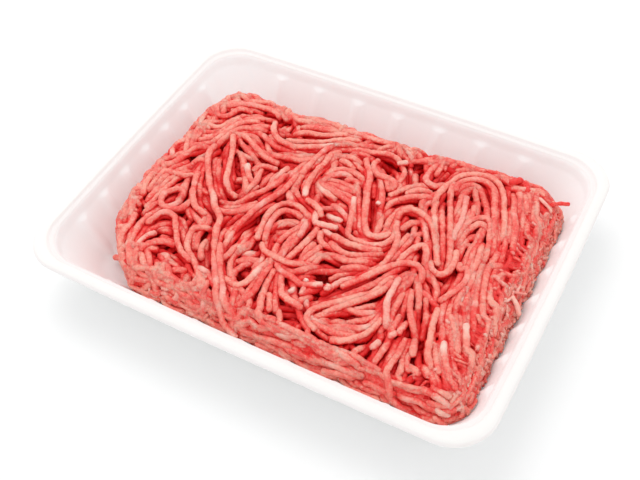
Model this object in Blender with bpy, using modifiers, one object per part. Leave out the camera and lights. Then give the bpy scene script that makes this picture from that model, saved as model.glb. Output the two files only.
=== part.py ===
"""Meat tray pack: an open foam tray with a slab of minced meat lying in it.

Metres, +Z up.  The origin is on the ground under the middle of the tray.
X runs along the tray's long side, Y along its short side.
"""
import math

import bmesh
import bpy
from mathutils import Vector, noise

MM = 0.001

# Tray: outer size of the rim, and the foam sheet that it is pressed from.
TRAY_LENGTH = 200.0 * MM
TRAY_WIDTH = 156.0 * MM
TRAY_HEIGHT = 28.6 * MM
FOAM = 2.6 * MM
SIDE_BOW = 0.9 * MM          # how far the middle of each side stands out
CORNER_RADIUS = 17.0 * MM    # at the rim's outer edge
CORNER_TAPER = 0.25          # radius lost for each unit of inset
CORNER_STEPS = 9

# Ribs pressed into the walls, seven to a side.
RIBS_EACH_WAY = 3            # on either side of the middle rib
RIB_HEIGHT = 1.6 * MM
RIB_HALF_WIDTH = 3.4 * MM
LONG_PITCH = 20.2 * MM       # between ribs along the long sides
SHORT_PITCH = 15.3 * MM      # between ribs along the short sides

# Upper face of the tray from the lip to the floor:
# (inset from the rim's outer edge, drop below the rim, share of the rib height).
PROFILE = [
    (0.0 * MM, 0.9 * MM, 0.0),      # lip
    (0.9 * MM, 0.0 * MM, 0.0),
    (4.6 * MM, 0.0 * MM, 0.0),      # flat rim
    (5.1 * MM, 0.8 * MM, 0.0),      # step
    (6.3 * MM, 1.1 * MM, 0.0),      # ledge
    (7.4 * MM, 4.6 * MM, 0.0),      # shoulder
    (8.6 * MM, 8.2 * MM, 1.0),      # rib tops
    (16.9 * MM, 22.2 * MM, 1.0),    # wall
    (18.3 * MM, 24.7 * MM, 0.5),    # foot of the wall
    (20.6 * MM, 26.0 * MM, 0.0),    # floor
]

# Minced meat: a slab that lies against the front and right walls.
GAP = 0.3 * MM
WALL_GAP = 0.5 * MM
MEAT_TOP = 28.5 * MM         # height of the top's middle above the ground
MEAT_CROWN = 0.9 * MM        # how far the top falls towards its edges
MEAT_EDGE = 2.2 * MM         # how far it falls further at the edge itself
RIGHT_DROOP = 2.0 * MM       # how far the top sinks towards the right wall
DROOP_START = 68.0 * MM
DROOP_WIDTH = 16.0 * MM
MEAT_SQUARENESS = 11         # exponent of the plan's rounded rectangle
SIDE_LUMPS = 0.7 * MM
TOP_LUMPS = 0.8 * MM
SIDE_LUMP_SIZE = 17.0 * MM
TOP_LUMP_SIZE = 13.0 * MM
CUTS_X, CUTS_Y, CUTS_Z = 30, 20, 6

# Where the slab's sides run, by height: (height, left, right, front, back).
# Below, the walls hold the sides in.
MEAT_SIDES = [
    (2.9 * MM, -80.6 * MM, 79.8 * MM, -57.8 * MM, 52.0 * MM),
    (8.0 * MM, -80.9 * MM, 84.4 * MM, -61.8 * MM, 54.5 * MM),
    (13.0 * MM, -81.6 * MM, 87.2 * MM, -64.9 * MM, 55.0 * MM),
    (17.0 * MM, -81.6 * MM, 87.9 * MM, -65.9 * MM, 55.3 * MM),
    (22.0 * MM, -81.2 * MM, 86.4 * MM, -64.0 * MM, 55.2 * MM),
    (25.5 * MM, -80.6 * MM, 83.0 * MM, -60.6 * MM, 55.0 * MM),
    (28.5 * MM, -77.8 * MM, 78.6 * MM, -56.4 * MM, 52.4 * MM),
]

# How far the left side is pulled in at each y, and the back at each x.
LEFT_CUT = [
    (-62.0 * MM, 20.0 * MM), (-56.0 * MM, 13.8 * MM), (-48.0 * MM, 8.4 * MM), (-41.0 * MM, 3.6 * MM),
    (-33.0 * MM, 1.2 * MM), (-15.0 * MM, 0.0 * MM), (5.0 * MM, 0.8 * MM), (30.0 * MM, 1.4 * MM),
    (40.0 * MM, 3.0 * MM), (50.0 * MM, 5.0 * MM),
]
BACK_CUT = [
    (-80.0 * MM, 5.4 * MM), (-59.0 * MM, 5.0 * MM), (-45.0 * MM, 5.8 * MM), (-37.0 * MM, 7.5 * MM),
    (-28.0 * MM, 5.3 * MM), (0.0 * MM, 4.8 * MM), (20.0 * MM, 4.4 * MM), (29.0 * MM, 3.2 * MM),
    (46.0 * MM, 1.3 * MM), (55.0 * MM, 0.3 * MM), (73.0 * MM, 0.0 * MM), (82.0 * MM, 2.0 * MM),
]


def clear_scene():
    for item in list(bpy.data.objects):
        bpy.data.objects.remove(item, do_unlink=True)


def material(name, colour, roughness, subsurface=0.0):
    """Principled material with one colour, as linear RGB."""
    made = bpy.data.materials.new(name)
    made.use_nodes = True
    shader = made.node_tree.nodes["Principled BSDF"]
    shader.inputs["Base Color"].default_value = (*colour, 1.0)
    shader.inputs["Roughness"].default_value = roughness
    shader.inputs["Metallic"].default_value = 0.0
    shader.inputs["Subsurface Weight"].default_value = subsurface
    return made


def add_object(name, mesh, made, collection):
    item = bpy.data.objects.new(name, mesh)
    mesh.materials.append(made)
    collection.objects.link(item)
    return item


def rib_stations(pitch):
    """Distances from a side's middle to its ribs' crests and feet, with weights."""
    stations = [(0.0, 1.0), (RIB_HALF_WIDTH, 0.0)]
    for number in range(1, RIBS_EACH_WAY + 1):
        crest = number * pitch
        stations.append((crest - RIB_HALF_WIDTH, 0.0))
        stations.append((crest, 1.0))
        stations.append((crest + RIB_HALF_WIDTH, 0.0))
    return stations


def quarter_point(distance, half_x, half_y, radius):
    """Point and outward direction on a rounded corner of the plan.

    The distance runs from the middle of the right side, round the corner, to
    the middle of the back side.
    """
    straight_y = half_y - radius
    arc = radius * math.pi / 2
    if distance <= straight_y:
        return Vector((half_x, distance)), Vector((1, 0))
    if distance <= straight_y + arc:
        angle = (distance - straight_y) / radius
        outward = Vector((math.cos(angle), math.sin(angle)))
        return Vector((half_x - radius, straight_y)) + radius * outward, outward
    return Vector((half_x - radius - (distance - straight_y - arc), half_y)), Vector((0, 1))


def quarter_ring(inset, rib_share):
    """A quarter of the tray's plan at one inset, ribs included."""
    half_x = TRAY_LENGTH / 2 - SIDE_BOW - inset
    half_y = TRAY_WIDTH / 2 - SIDE_BOW - inset
    radius = CORNER_RADIUS - CORNER_TAPER * inset
    length = half_x + half_y - 2 * radius + radius * math.pi / 2
    right = rib_stations(SHORT_PITCH)
    back = [(length - distance, weight) for distance, weight in reversed(rib_stations(LONG_PITCH))]
    first, last = right[-1][0], back[0][0]
    corner = [(first + (last - first) * step / CORNER_STEPS, 0.0) for step in range(1, CORNER_STEPS)]
    points = []
    for distance, weight in right + corner + back:
        point, outward = quarter_point(distance, half_x, half_y, radius)
        bow_x = SIDE_BOW * (point.x / half_x) * (1 - (point.y / half_y) ** 2)
        bow_y = SIDE_BOW * (point.y / half_y) * (1 - (point.x / half_x) ** 2)
        points.append(point + Vector((bow_x, bow_y)) - outward * weight * rib_share * RIB_HEIGHT)
    return points


def full_ring(inset, rib_share):
    """The whole plan, anticlockwise from the middle of the right side."""
    quarter = quarter_ring(inset, rib_share)
    back_left = [Vector((-p.x, p.y)) for p in reversed(quarter[:-1])]
    half = quarter + back_left
    front = [Vector((p.x, -p.y)) for p in reversed(half[1:-1])]
    return half + front


def build_tray(collection):
    """The upper face is lofted from the lip to the floor, then thickened downward."""
    shape = bmesh.new()
    rings = []
    for inset, drop, rib_share in PROFILE:
        height = TRAY_HEIGHT - drop
        rings.append([shape.verts.new((p.x, p.y, height)) for p in full_ring(inset, rib_share)])
    for outer, inner in zip(rings, rings[1:]):
        for index in range(len(outer)):
            following = (index + 1) % len(outer)
            shape.faces.new((outer[index], outer[following], inner[following], inner[index]))
    shape.faces.new(rings[-1])
    mesh = bpy.data.meshes.new("tray")
    shape.to_mesh(mesh)
    shape.free()
    mesh.shade_smooth()
    tray = add_object("tray", mesh, material("white_foam", (0.90, 0.89, 0.87), 0.55), collection)
    solidify = tray.modifiers.new("foam thickness", "SOLIDIFY")
    solidify.thickness = FOAM
    solidify.offset = -1.0
    solidify.solidify_mode = "NON_MANIFOLD"
    solidify.nonmanifold_thickness_mode = "CONSTRAINTS"
    return tray


def smoothstep(value):
    value = min(max(value, 0.0), 1.0)
    return value * value * (3 - 2 * value)


def lump(point, size, seed):
    """Smooth unevenness between about -1 and 1."""
    return noise.noise(point / size + Vector((seed, 0.0, 0.0)))


def rounded_plan(u, v):
    """Move a point of the square between -1 and 1 into a rounded square."""
    reach = max(abs(u), abs(v))
    if reach == 0.0:
        return Vector((0.0, 0.0))
    power = MEAT_SQUARENESS
    spread = (abs(u / reach) ** power + abs(v / reach) ** power) ** (-1 / power)
    return Vector((u, v)) * spread


def table_values(table, place):
    """The rest of a table's row at a place between its rows, by straight lines."""
    place = min(max(place, table[0][0]), table[-1][0])
    for low, high in zip(table, table[1:]):
        if place <= high[0]:
            share = (place - low[0]) / (high[0] - low[0])
            return [a + (b - a) * share for a, b in zip(low[1:], high[1:])]
    return list(table[-1][1:])


def held_in(x, y, z):
    """Move a point in from the tray's walls, by the height of the ribs and a gap."""
    wall = [(drop, inset, rib_share) for inset, drop, rib_share in PROFILE[5:]]
    inset, rib_share = table_values(wall, TRAY_HEIGHT - z)
    radius = CORNER_RADIUS - CORNER_TAPER * inset
    edge = inset + rib_share * RIB_HEIGHT + WALL_GAP
    half_x = TRAY_LENGTH / 2 - edge - SIDE_BOW * min(abs(y) / (TRAY_WIDTH / 2 - edge), 1.0) ** 2
    half_y = TRAY_WIDTH / 2 - edge - SIDE_BOW * min(abs(x) / (TRAY_LENGTH / 2 - edge), 1.0) ** 2
    corner = Vector((half_x - radius, half_y - radius))
    outside = Vector((max(abs(x) - corner.x, 0.0), max(abs(y) - corner.y, 0.0)))
    if outside.length > radius:
        outside *= radius / outside.length
    held_x = min(abs(x), corner.x) + outside.x
    held_y = min(abs(y), corner.y) + outside.y
    return Vector((math.copysign(held_x, x), math.copysign(held_y, y), z))


def meat_vertex(u, v, w):
    """Place a point of the cube (each coordinate from -1 to 1) on the slab."""
    plan = rounded_plan(u, v)
    reach = max(abs(u), abs(v))
    floor = TRAY_HEIGHT - PROFILE[-1][1] + GAP
    share = (w + 1) / 2
    left, right, front, back = table_values(MEAT_SIDES, floor + (MEAT_TOP - floor) * share)
    x = (right + left + (right - left) * plan.x) / 2
    y = (back + front + (back - front) * plan.y) / 2
    shift = SIDE_LUMPS * lump(Vector((x, y, w * SIDE_LUMP_SIZE / 2)), SIDE_LUMP_SIZE, 3.0)
    x += plan.x * reach ** 4 * shift
    y += plan.y * reach ** 4 * shift
    if x < 0:
        x -= table_values(LEFT_CUT, y)[0] * x / (75.0 * MM)
    if y > 0:
        y -= table_values(BACK_CUT, x)[0] * y / (54.0 * MM)
    top = MEAT_TOP - MEAT_CROWN * reach ** 2 - MEAT_EDGE * reach ** 12
    top -= RIGHT_DROOP * smoothstep((x - DROOP_START) / DROOP_WIDTH) ** 2
    top += TOP_LUMPS * lump(Vector((x, y, 0.0)), TOP_LUMP_SIZE, 11.0)
    return held_in(x, y, floor + (top - floor) * share)


def build_meat(collection):
    """A cube is cut into a grid, and each point is moved onto the slab's surface."""
    shape = bmesh.new()
    bmesh.ops.create_cube(shape, size=2.0)
    for axis, cuts in enumerate((CUTS_X, CUTS_Y, CUTS_Z)):
        normal = Vector([1.0 if axis == other else 0.0 for other in range(3)])
        for cut in range(1, cuts):
            geometry = shape.verts[:] + shape.edges[:] + shape.faces[:]
            bmesh.ops.bisect_plane(
                shape, geom=geometry, plane_co=normal * (2 * cut / cuts - 1), plane_no=normal)
    for vertex in shape.verts:
        vertex.co = meat_vertex(*vertex.co)
    bmesh.ops.recalc_face_normals(shape, faces=shape.faces[:])
    mesh = bpy.data.meshes.new("ground_meat")
    shape.to_mesh(mesh)
    shape.free()
    mesh.shade_smooth()
    lean = material("minced_meat", (0.72, 0.16, 0.13), 0.45, subsurface=0.2)
    return add_object("ground_meat", mesh, lean, collection)


def main():
    clear_scene()
    collection = bpy.data.collections.new("meat_tray_pack")
    bpy.context.scene.collection.children.link(collection)
    build_tray(collection)
    build_meat(collection)


main()
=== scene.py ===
"""Looks of the meat tray pack: foam tray, and minced meat built strand by strand.

Sizes are in millimetres up to the point where meshes are made in metres.
"""
import math

import bmesh
import bpy
import numpy as np
from mathutils import Matrix, Vector, noise


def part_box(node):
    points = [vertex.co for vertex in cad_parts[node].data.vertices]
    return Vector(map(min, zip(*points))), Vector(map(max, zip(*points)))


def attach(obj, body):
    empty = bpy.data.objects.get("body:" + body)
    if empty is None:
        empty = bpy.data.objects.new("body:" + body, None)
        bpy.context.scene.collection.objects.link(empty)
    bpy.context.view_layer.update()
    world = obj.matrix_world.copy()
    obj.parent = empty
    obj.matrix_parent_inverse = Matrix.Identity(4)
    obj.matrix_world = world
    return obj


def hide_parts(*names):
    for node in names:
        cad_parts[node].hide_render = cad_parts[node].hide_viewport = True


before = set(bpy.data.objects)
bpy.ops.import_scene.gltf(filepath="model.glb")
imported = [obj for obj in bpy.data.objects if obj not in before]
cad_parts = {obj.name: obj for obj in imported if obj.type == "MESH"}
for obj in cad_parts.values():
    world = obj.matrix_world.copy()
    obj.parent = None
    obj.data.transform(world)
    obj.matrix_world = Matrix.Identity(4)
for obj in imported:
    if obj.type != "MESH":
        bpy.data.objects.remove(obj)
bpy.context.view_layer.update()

MM = 0.001

# ---------------------------------------------------------------- sizes

tray_low, tray_high = [np.array(corner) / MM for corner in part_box("tray")]
meat_low, meat_high = [np.array(corner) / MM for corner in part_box("ground_meat")]

TRAY_HALF_X = (tray_high[0] - tray_low[0]) / 2
TRAY_HALF_Y = (tray_high[1] - tray_low[1]) / 2
RIM_HEIGHT = tray_high[2]
FOAM = 2.6
SIDE_BOW = 0.9
CORNER_RADIUS = 17.0
CORNER_TAPER = 0.25

# Upper face of the tray: inset from the rim's edge, drop below the rim, share of rib height.
PROFILE = [
    (0.0, 1.5, 0.0), (0.35, 0.55, 0.0), (1.0, 0.08, 0.0), (2.4, 0.0, 0.0), (4.1, 0.05, 0.0),
    (4.5, 0.3, 0.0), (4.8, 1.1, 0.0), (5.2, 1.4, 0.0), (5.9, 1.3, 0.0), (6.5, 1.45, 0.0),
    (6.9, 2.1, 0.0), (7.3, 3.6, 0.0), (7.7, 5.4, 0.0), (8.0, 6.4, 0.1), (8.3, 7.0, 0.85),
    (8.7, 7.8, 1.0), (11.4, 13.0, 1.0),
    (14.2, 17.7, 1.0), (16.8, 22.0, 1.0), (17.7, 23.7, 0.85), (18.9, 25.2, 0.45),
    (20.6, 25.9, 0.12), (22.5, 26.0, 0.0),
]
RIBS_EACH_WAY = 3
RIB_HEIGHT = 1.6
RIB_HALF_WIDTH = 3.7
LONG_PITCH = 20.2
SHORT_PITCH = 15.3

STRAND_RADIUS = 1.42
STEP = 0.8                   # between samples while strands are being laid

WALL_START = 9               # index in PROFILE from which the wall runs down to the floor
CLEARANCE = 0.2              # between the meat and the tray
CORE_CLEARANCE = 1.7         # and between the core under the strands and the tray

# The slab's outer surface.
SHOULDER = 3.2               # radius between the top and the sides
PLAN_CORNER = 4.0            # radius of the plan's corners where the shoulder starts
TOP_MIDDLE = 27.9
CROWN_X = 0.8
CROWN_Y = 0.4
RIGHT_DROOP = 2.0            # how far the top falls at the right edge
TOP_WAVES = 0.5
SLAB_LOW = np.array((-80.6, -58.2))
SLAB_HIGH = np.array((80.6, 55.0))
SLAB_CENTRE = (SLAB_LOW + SLAB_HIGH) / 2
SLAB_HALF = (SLAB_HIGH - SLAB_LOW) / 2

SIDE_FLAP = SHOULDER * math.pi / 2 + 20.2
FLOOR_HEIGHT = RIM_HEIGHT - 26.0

# How far each side stands out from its top edge, by height above the ground.
SIDE_HEIGHTS = [2.9, 5.0, 8.0, 10.0, 13.0, 17.0, 22.0, 25.5]
RIGHT_SIDE = [-0.8, 1.4, 3.8, 5.4, 7.0, 7.6, 5.8, 2.2]
FRONT_SIDE = [-0.4, 1.6, 3.6, 5.2, 7.0, 8.0, 5.8, 2.0]
LEFT_SIDE = [0.0, 0.0, 0.3, 0.6, 1.0, 1.0, 0.6, 0.0]
BACK_SIDE = [-3.0, -1.5, -0.5, 0.0, 0.0, 0.3, 0.2, 0.0]


# ---------------------------------------------------------------- helpers

def smoothstep(value):
    value = np.clip(value, 0.0, 1.0)
    return value * value * (3 - 2 * value)


def smooth_route(points, step=STEP):
    """Even samples, step apart, of a Catmull-Rom curve through the points."""
    points = np.asarray(points, float)
    padded = np.vstack([2 * points[0] - points[1], points, 2 * points[-1] - points[-2]])
    t = np.linspace(0, 1, 16, endpoint=False)[:, None]
    dense = []
    for a, b, c, d in zip(padded, padded[1:], padded[2:], padded[3:]):
        dense.append(0.5 * (2 * b + (c - a) * t + (2 * a - 5 * b + 4 * c - d) * t ** 2
                            + (3 * b - a - 3 * c + d) * t ** 3))
    dense = np.vstack(dense + [points[-1:]])
    lengths = np.concatenate([[0], np.cumsum(np.linalg.norm(np.diff(dense, axis=0), axis=1))])
    count = max(int(lengths[-1] / step) + 1, 4)
    even = np.linspace(0, lengths[-1], count)
    return np.stack([np.interp(even, lengths, dense[:, k]) for k in range(dense.shape[1])], axis=1)


def waves(coordinates, seed, size):
    """Cheap smooth noise in about -1 to 1: a sum of sines in seeded directions."""
    chance = np.random.default_rng(seed)
    total = np.zeros(len(coordinates))
    for _ in range(7):
        direction = chance.normal(size=coordinates.shape[1])
        direction /= np.linalg.norm(direction)
        scale = size * chance.uniform(0.6, 1.5)
        total += np.sin(coordinates @ direction * (2 * math.pi / scale) + chance.uniform(0, 6.28))
    return total / 3.0


def left_cut(y):
    """How far the slab's left side is pulled in at each y."""
    return np.interp(y, [-62, -56, -48, -41, -33, -23, -15, 5, 20, 30, 40, 50],
                     [20.0, 13.8, 8.4, 3.6, 1.2, 0.6, -0.4, 0.8, 1.3, 1.4, 3.0, 5.0])


def back_cut(x):
    """How far the slab's back is pulled in at each x."""
    return np.interp(x, [-80, -59, -45, -37, -28, 0, 20, 29, 46, 55, 73, 82],
                     [5.4, 5.0, 5.8, 7.5, 5.3, 4.8, 4.4, 3.2, 1.3, 0.3, -0.2, 2.0])


def slab_points(flat, lift):
    """Fold flat positions over the slab: on its top as they are, beyond its edge down its side.

    lift is the height above the slab's outer surface, along its normal.
    """
    half = SLAB_HALF - SHOULDER - PLAN_CORNER
    offset = flat - SLAB_CENTRE
    beyond = np.abs(offset) - half
    outside = np.maximum(beyond, 0.0)
    reach = np.linalg.norm(outside, axis=1)
    distance = reach - PLAN_CORNER
    side = distance > 0
    safe = np.where(reach > 1e-6, reach, 1.0)
    outward = outside / safe[:, None] * np.sign(offset)
    over = np.where(side, distance, 0.0)
    angle = np.minimum(over / SHOULDER, math.pi / 2)
    down = np.maximum(over - SHOULDER * math.pi / 2, 0.0)
    base = flat - outward * over[:, None]
    normal = np.column_stack([outward * np.sin(angle)[:, None], np.cos(angle)])
    place = np.column_stack([base + outward * (SHOULDER * np.sin(angle))[:, None],
                             TOP_MIDDLE - SHOULDER * (1 - np.cos(angle)) - down])
    place = place + normal * np.asarray(lift)[:, None]
    height = place[:, 2]
    standing_out = np.zeros_like(place)
    standing_out[:, 0] = (np.maximum(outward[:, 0], 0) * np.interp(height, SIDE_HEIGHTS, RIGHT_SIDE)
                          + np.minimum(outward[:, 0], 0) * np.interp(height, SIDE_HEIGHTS, LEFT_SIDE))
    standing_out[:, 1] = (np.maximum(outward[:, 1], 0) * np.interp(height, SIDE_HEIGHTS, BACK_SIDE)
                          + np.minimum(outward[:, 1], 0) * np.interp(height, SIDE_HEIGHTS, FRONT_SIDE))
    return uneven_slab(place + standing_out * side[:, None])


def past_edge(flat):
    """How far flat positions are past the top's edge, on the way down a side."""
    beyond = np.maximum(np.abs(flat - SLAB_CENTRE) - (SLAB_HALF - SHOULDER - PLAN_CORNER), 0.0)
    return np.maximum(np.linalg.norm(beyond, axis=1) - PLAN_CORNER, 0.0)


def rib_share_at(distance, pitch):
    """Height of the ribs, 0 to 1, at distances from the middle of a side."""
    share = np.zeros_like(distance)
    for number in range(RIBS_EACH_WAY + 1):
        away = np.abs(np.abs(distance) - number * pitch) / RIB_HALF_WIDTH
        share = np.maximum(share, smoothstep(1.25 * (1 - away)))
    return share


def kept_in_tray(points, clearance=CLEARANCE):
    """Points moved in off the tray's walls and floor, so that the meat lies against them."""
    wall = np.array(PROFILE[WALL_START:])
    place = points[..., :2]
    height = np.maximum(points[..., 2], FLOOR_HEIGHT + clearance)
    inset = np.interp(RIM_HEIGHT - height, wall[:, 1], wall[:, 0])
    rib = RIB_HEIGHT * np.interp(RIM_HEIGHT - height, wall[:, 1], wall[:, 2])
    half = np.stack([TRAY_HALF_X - inset, TRAY_HALF_Y - inset], axis=-1)
    half -= SIDE_BOW * (place[..., ::-1] / half[..., ::-1]) ** 2
    half[..., 0] -= rib * rib_share_at(place[..., 1], SHORT_PITCH)
    half[..., 1] -= rib * rib_share_at(place[..., 0], LONG_PITCH)
    radius = CORNER_RADIUS - CORNER_TAPER * inset - clearance
    corner = half - clearance - radius[..., None]
    outside = np.maximum(np.abs(place) - corner, 0.0)
    reach = np.maximum(np.linalg.norm(outside, axis=-1), 1e-9)
    allowed = np.minimum(np.abs(place), corner) + outside * np.minimum(radius / reach, 1.0)[..., None]
    return np.concatenate([np.sign(place) * allowed, height[..., None]], axis=-1)


def uneven_slab(place):
    """Crown, drooping right edge and pulled-in sides, applied to folded positions."""
    x, y, z = place.T.copy()
    share = np.clip((z - meat_low[2]) / (TOP_MIDDLE - meat_low[2]), 0, 1)
    z = z - share * CROWN_X * ((x - SLAB_CENTRE[0]) / SLAB_HALF[0]) ** 2
    z = z - share * CROWN_Y * ((y - SLAB_CENTRE[1]) / SLAB_HALF[1]) ** 2
    z = z - share * RIGHT_DROOP * smoothstep((x - 68) / 16) ** 2
    z = z + share * TOP_WAVES * waves(np.column_stack([x, y]), 31, 26.0)
    x = np.where(x < 0, x + left_cut(y) * (-x / 75), x)
    y = np.where(y > 0, y - back_cut(x) * (y / 54), y)
    return np.column_stack([x, y, z])


def flat_position(points):
    """Flat position of points seen from above, undoing the shoulder and the pulled-in sides."""
    x, y = np.asarray(points, float).T.copy()
    y = np.where(y > 0, y / (1 - back_cut(x) / 54), y)
    x = np.where(x < 0, x / (1 - left_cut(y) / 75), x)
    offset = np.column_stack([x, y]) - SLAB_CENTRE
    level = SLAB_HALF - SHOULDER
    beyond = np.clip((np.abs(offset) - level) / SHOULDER, 0.0, 0.97)
    over = np.maximum(np.abs(offset) - level, 0.0)
    stretched = np.where(over < SHOULDER, SHOULDER * np.arcsin(beyond), over + SHOULDER * 0.4)
    return SLAB_CENTRE + np.sign(offset) * (np.minimum(np.abs(offset), level) + stretched)


# ---------------------------------------------------------------- stacking strands

CELL = 0.4
REACH_DOWN = 26.0            # how far the flat plan goes on beyond the slab's edges
PRESS_WIDTH = 1.2            # half the width over which strands press on each other
PRESS_HEIGHT = 1.25          # half the thickness of a pressed strand
CORE_DEPTH = 7.5
SIDE_CORE_DEPTH = 2.1        # the sides are pressed, so the strands are thin there
STEEPEST = 0.75

grid_low = SLAB_CENTRE - SLAB_HALF - REACH_DOWN
grid_shape = ((2 * (SLAB_HALF + REACH_DOWN)) / CELL).astype(int) + 1
heights = np.full(grid_shape, -CORE_DEPTH - 3.0)
kernel_cells = np.array([(i, j) for i in range(-3, 4) for j in range(-3, 4)
                         if math.hypot(i, j) * CELL < PRESS_WIDTH])
kernel_rise = PRESS_HEIGHT * np.sqrt(
    1 - (np.hypot(*kernel_cells.T) * CELL / PRESS_WIDTH) ** 2)


def cells_under(flat):
    centre = np.round((flat - grid_low) / CELL).astype(int)
    cells = centre[:, None, :] + kernel_cells[None]
    return (np.clip(cells[..., 0], 0, grid_shape[0] - 1),
            np.clip(cells[..., 1], 0, grid_shape[1] - 1))


def settle(flat, ceiling):
    """Height at which a strand comes to rest on what lies there already."""
    cells = cells_under(flat)
    rest = (heights[cells] + kernel_rise).max(axis=1)
    rest = np.minimum(rest, ceiling)
    held = rest.copy()
    for order in (range(1, len(held)), range(len(held) - 2, -1, -1)):
        before = -1 if order.step == 1 else 1
        for index in order:
            held[index] = max(held[index], held[index + before] - STEEPEST * STEP)
    window = np.array([1, 2, 3, 2, 1]) / 9
    for _ in range(2):
        held = np.convolve(np.pad(held, 2, mode="edge"), window, mode="valid")
    np.maximum.at(heights, cells, held[:, None] + kernel_rise)
    return held


DEPTH_RANGE = 6.0            # depth at which the painted shade is deepest
BURIED_SHARE = 0.7           # how much a strand's own depth in the heap adds to that
SIDE_PALENESS = 0.50         # how much of that painted shade is lost on the sides, where nothing is loose
PIECE_LIMIT = 190000         # triangles in a piece
HIDDEN_UNDER = 1.6           # strands with more than this over them don't show
SHOWN_FURTHER = 2.5          # but they are built this far past where they show


def blurred(grid, cells):
    """Average of a grid over a square of cells, edge cells repeated."""
    for axis in (0, 1):
        padded = np.pad(grid, [(cells, cells) if axis == k else (0, 0) for k in (0, 1)], mode="edge")
        summed = np.cumsum(padded, axis=axis)
        span = 2 * cells
        first = np.take(summed, range(0, grid.shape[axis]), axis=axis)
        last = np.take(summed, range(span, span + grid.shape[axis]), axis=axis)
        grid = (last - first) / span
    return grid


def widest(grid, cells):
    """Largest value of a grid within some cells."""
    for axis in (0, 1):
        spread = [np.roll(grid, shift, axis=axis) for shift in range(-cells, cells + 1)]
        grid = np.max(spread, axis=0)
    return grid


def outer_height(flat):
    """Height of the heap's outer surface, strands taken together, over flat positions."""
    if "outer" not in heap:
        heap["outer"] = blurred(widest(heights, 3), 4)
    cells = np.round((flat - grid_low) / CELL).astype(int)
    return heap["outer"][np.clip(cells[:, 0], 0, grid_shape[0] - 1),
                         np.clip(cells[:, 1], 0, grid_shape[1] - 1)]


heap = {}


# ---------------------------------------------------------------- strand meshes

class StrandMesh:
    """Collects tubes of one kind, and builds what shows of them in pieces of bounded size."""

    def __init__(self, name, sides, step):
        self.name, self.sides, self.step = name, sides, step
        self.strands = []

    def add(self, flat, lift, *looks):
        samples = smooth_route(np.column_stack([flat, lift]), self.step)
        self.strands.append((samples[:, :2], samples[:, 2], looks))

    def build(self, made):
        batches = [[]]
        size = 0
        for flat, lift, looks in self.strands:
            centre = slab_points(flat, lift)
            rings, tone, below_top = tube(centre, surface_normals(flat, lift), self.sides, self.step, *looks)
            rings = kept_in_tray(rings)
            side = smoothstep(past_edge(flat) / 4)
            # painted shade: how far each point lies below its strand's top and under the heap's surface, less on
            # the slab's sides, goes into the colour's second channel, which darkens and reddens the meat
            buried = np.maximum(outer_height(flat) - lift - looks[0], 0.0)
            depth = (below_top + BURIED_SHARE * buried[:, None]) * (1 - SIDE_PALENESS * side[:, None])
            tone[..., 1] = np.maximum(tone[..., 1], np.clip(depth / DEPTH_RANGE, 0.0, 1.0))
            for first, last in stretches_that_show(flat, lift, self.step):
                triangles = 2 * (last - first) * self.sides
                if size + triangles > PIECE_LIMIT:
                    batches.append([])
                    size = 0
                size += triangles
                batches[-1].append((rings[first:last], tone[first:last]))
        pieces = []
        for number, batch in enumerate(batches, 1):
            pieces.append(mesh_from_tubes(f"{self.name}_{number}", batch, made))
        return pieces


def stretches_that_show(flat, lift, step):
    """First and last sample of each stretch of a strand that isn't buried under others."""
    cover = (heights[cells_under(flat)] - kernel_rise).min(axis=1) - lift
    reach = int(SHOWN_FURTHER / step)
    shown = np.convolve(cover < HIDDEN_UNDER, np.ones(2 * reach + 1))[reach:reach + len(flat)] > 0
    edges = np.flatnonzero(np.diff(np.concatenate([[0], shown.astype(int), [0]])))
    return [(first, last) for first, last in zip(edges[::2], edges[1::2]) if last - first > 2]


def tube(centre, normals, sides, step, radius, flatness, tone, seed):
    """Rings of points round a centre line, rounded off at both ends.

    Gives the rings, their colours and how far each point is below the strand's top.
    """
    chance = np.random.default_rng(seed)
    tangent = np.gradient(centre, axis=0)
    tangent /= np.linalg.norm(tangent, axis=1)[:, None]
    frame_side = np.zeros_like(centre)
    side = np.cross(tangent[0], (0.0, 0.0, 1.0))
    if np.linalg.norm(side) < 0.1:
        side = np.cross(tangent[0], (1.0, 0.0, 0.0))
    for index, along in enumerate(tangent):
        side = side - along * (side @ along)
        side /= np.linalg.norm(side)
        frame_side[index] = side
    frame_up = np.cross(frame_side, tangent)
    travelled = np.arange(len(centre)) * step
    cap = np.ones(len(centre))
    for left in (travelled, travelled[::-1]):
        blunt = chance.uniform(0.35, 1.1) * radius
        cap *= np.sqrt(1 - (1 - np.clip(left / blunt, 0, 1)) ** 2)
    cap = np.maximum(cap, 0.25)
    thick = radius * cap * (1 + 0.06 * np.sin(travelled / chance.uniform(2, 6) + chance.uniform(0, 6)))
    turn = np.linspace(0, 2 * math.pi, sides, endpoint=False) + chance.uniform(0, 1)
    spokes = (frame_side[:, None] * np.cos(turn)[None, :, None]
              + frame_up[:, None] * np.sin(turn)[None, :, None])
    offset = spokes * thick[:, None, None]
    lifted = (offset * normals[:, None]).sum(axis=2, keepdims=True)
    rings = centre[:, None] + offset - normals[:, None] * lifted * (1 - flatness)
    skin = rings.reshape(-1, 3)
    lumps = 0.09 * waves(skin, 5, 3.4) + 0.08 * waves(skin, 6, 1.9) + 0.06 * waves(skin, 7, 1.2)
    rings = rings + spokes * lumps.reshape(len(centre), sides, 1)
    below_top = radius - ((rings - centre[:, None]) * normals[:, None]).sum(axis=2)
    colours = np.zeros((len(centre), sides, 4))
    colours[..., 0] = tone_along(tone, travelled, chance)[:, None]
    colours[..., 1] = 0.22 if tone == "blood" else 0.0
    colours[..., 2] = chance.uniform()
    colours[..., 3] = 1.0
    return rings, colours, below_top


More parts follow.
